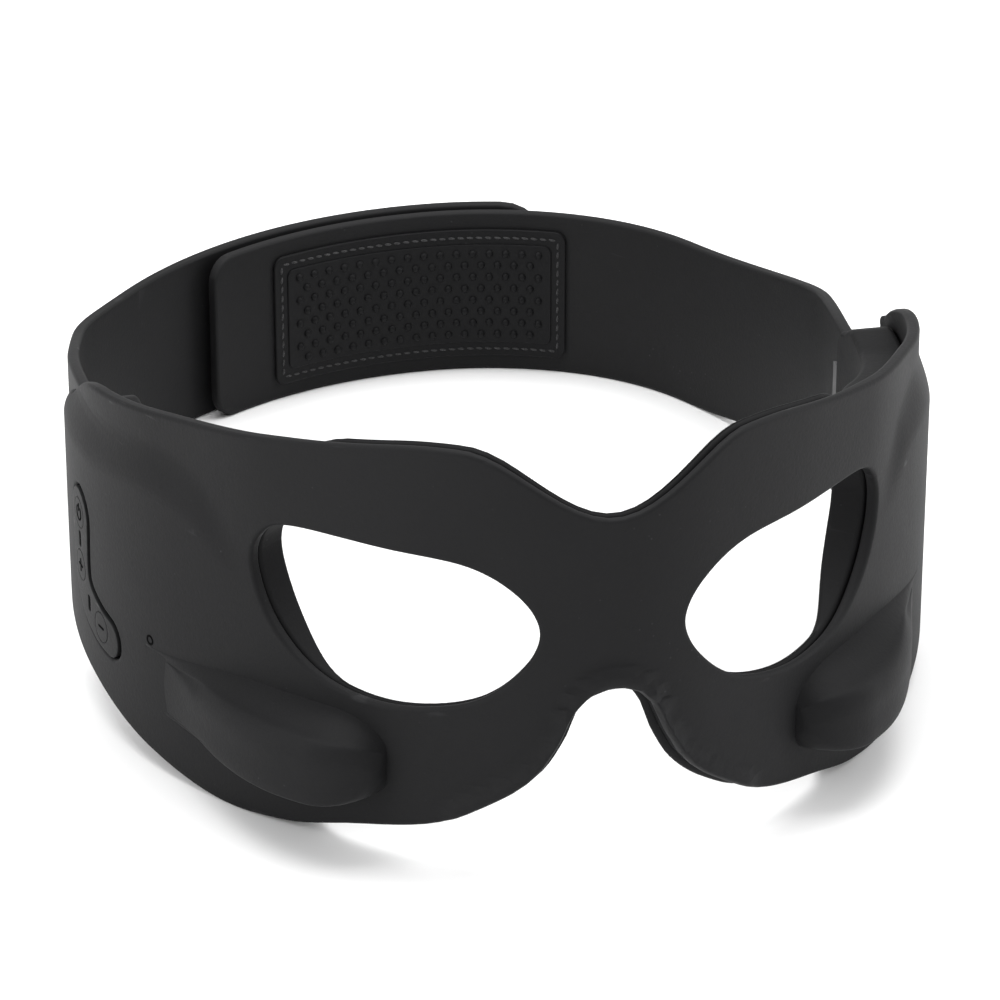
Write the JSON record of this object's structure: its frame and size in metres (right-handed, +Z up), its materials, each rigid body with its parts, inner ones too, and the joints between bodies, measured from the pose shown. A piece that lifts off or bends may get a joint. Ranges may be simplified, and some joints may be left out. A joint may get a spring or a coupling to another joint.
{
  "type": "eye massager mask",
  "caption": "Soft wrap-around eye massager mask with open eyes, raised cheek pods, temple modules, a control strip and a two-piece head strap with hook-and-loop overlap.",
  "frame": {"origin": "centre of the box on the surface the mask stands on", "axes": "-Y is the front of the face, +X the wearer's left, +Z up"},
  "size_m": [0.1492, 0.2076, 0.0755],
  "materials": {
    "black_silicone": "matte, fine dust-like grain",
    "liner_silicone": "matte soft silicone",
    "strap_silicone": "matte silicone band",
    "panel_silicone": "matte silicone keys",
    "grip_rubber": "dimpled rubber pad",
    "hook_loop": "hook and loop tape",
    "thread_black": "sewing thread",
    "core_plastic": "flexible plastic sheet",
    "case_plastic": "moulded plastic",
    "flex_film": "amber polyimide film",
    "motor_steel": "drawn steel",
    "screw_steel": "plated steel",
    "board_green": "solder mask",
    "cell_foil": "pouch foil",
    "switch_plastic": "moulded plastic with steel frame",
    "window_smoke": "smoked light window"
  },
  "bodies": {
    "mask": {"front_skin": "black_silicone", "core_frame": "core_plastic", "face_liner": "liner_silicone", "nose_pad": "liner_silicone", "flex_cable": "flex_film", "heater_film_left": "flex_film", "heater_film_right": "flex_film", "motor_can_left": "motor_steel", "motor_can_right": "motor_steel", "control_case": "case_plastic", "battery_case": "case_plastic", "control_case_lid": "case_plastic", "battery_case_lid": "case_plastic", "case_screws": "screw_steel", "main_board": "board_green", "battery_cell": "cell_foil", "tact_switches": "switch_plastic", "button_panel": "panel_silicone", "led_windows": "window_smoke", "charge_socket": "motor_steel", "strap_socket_left": "case_plastic", "strap_socket_right": "case_plastic"},
    "power_key": {"power_key": "panel_silicone"},
    "plus_key": {"plus_key": "panel_silicone"},
    "minus_key": {"minus_key": "panel_silicone"},
    "rotor_left": {"motor_rotor_left": "motor_steel"},
    "rotor_right": {"motor_rotor_right": "motor_steel"},
    "inner_strap": {"strap_inner": "strap_silicone", "hook_patch": "hook_loop", "grip_pad": "grip_rubber", "grip_stitching": "thread_black", "root_pin_left": "screw_steel"},
    "outer_strap": {"strap_outer": "strap_silicone", "loop_patch": "hook_loop", "root_pin_right": "screw_steel"}
  },
  "joints": [
    {"name": "power_key_press", "type": "slide", "parent": "mask", "child": "power_key", "axis": [0.9937, 0.1122, 0], "range_m": [0, 0.0006], "stiffness_N_per_m": 400},
    {"name": "plus_key_press", "type": "slide", "parent": "mask", "child": "plus_key", "axis": [0.9937, 0.1122, 0], "range_m": [0, 0.0006], "stiffness_N_per_m": 400},
    {"name": "minus_key_press", "type": "slide", "parent": "mask", "child": "minus_key", "axis": [0.9703, 0.242, 0], "range_m": [0, 0.0006], "stiffness_N_per_m": 400},
    {"name": "rotor_left_spin", "type": "hinge", "parent": "mask", "child": "rotor_left", "pos_m": [0.04082, -0.08649, 0.0166], "axis": [0.7142, 0.6999, 0], "continuous": true},
    {"name": "rotor_right_spin", "type": "hinge", "parent": "mask", "child": "rotor_right", "pos_m": [-0.04082, -0.08649, 0.0166], "axis": [-0.7142, 0.6999, 0], "continuous": true},
    {"name": "inner_strap_flex", "type": "hinge", "parent": "mask", "child": "inner_strap", "pos_m": [0.0682, -0.00407, 0], "axis": [0, 0, 1], "range_deg": [0, 20], "stiffness_Nm_per_rad": 0.05},
    {"name": "outer_strap_flex", "type": "hinge", "parent": "mask", "child": "outer_strap", "pos_m": [-0.0682, -0.00407, 0], "axis": [0, 0, 1], "range_deg": [0, 40], "stiffness_Nm_per_rad": 0.05}
  ]
}
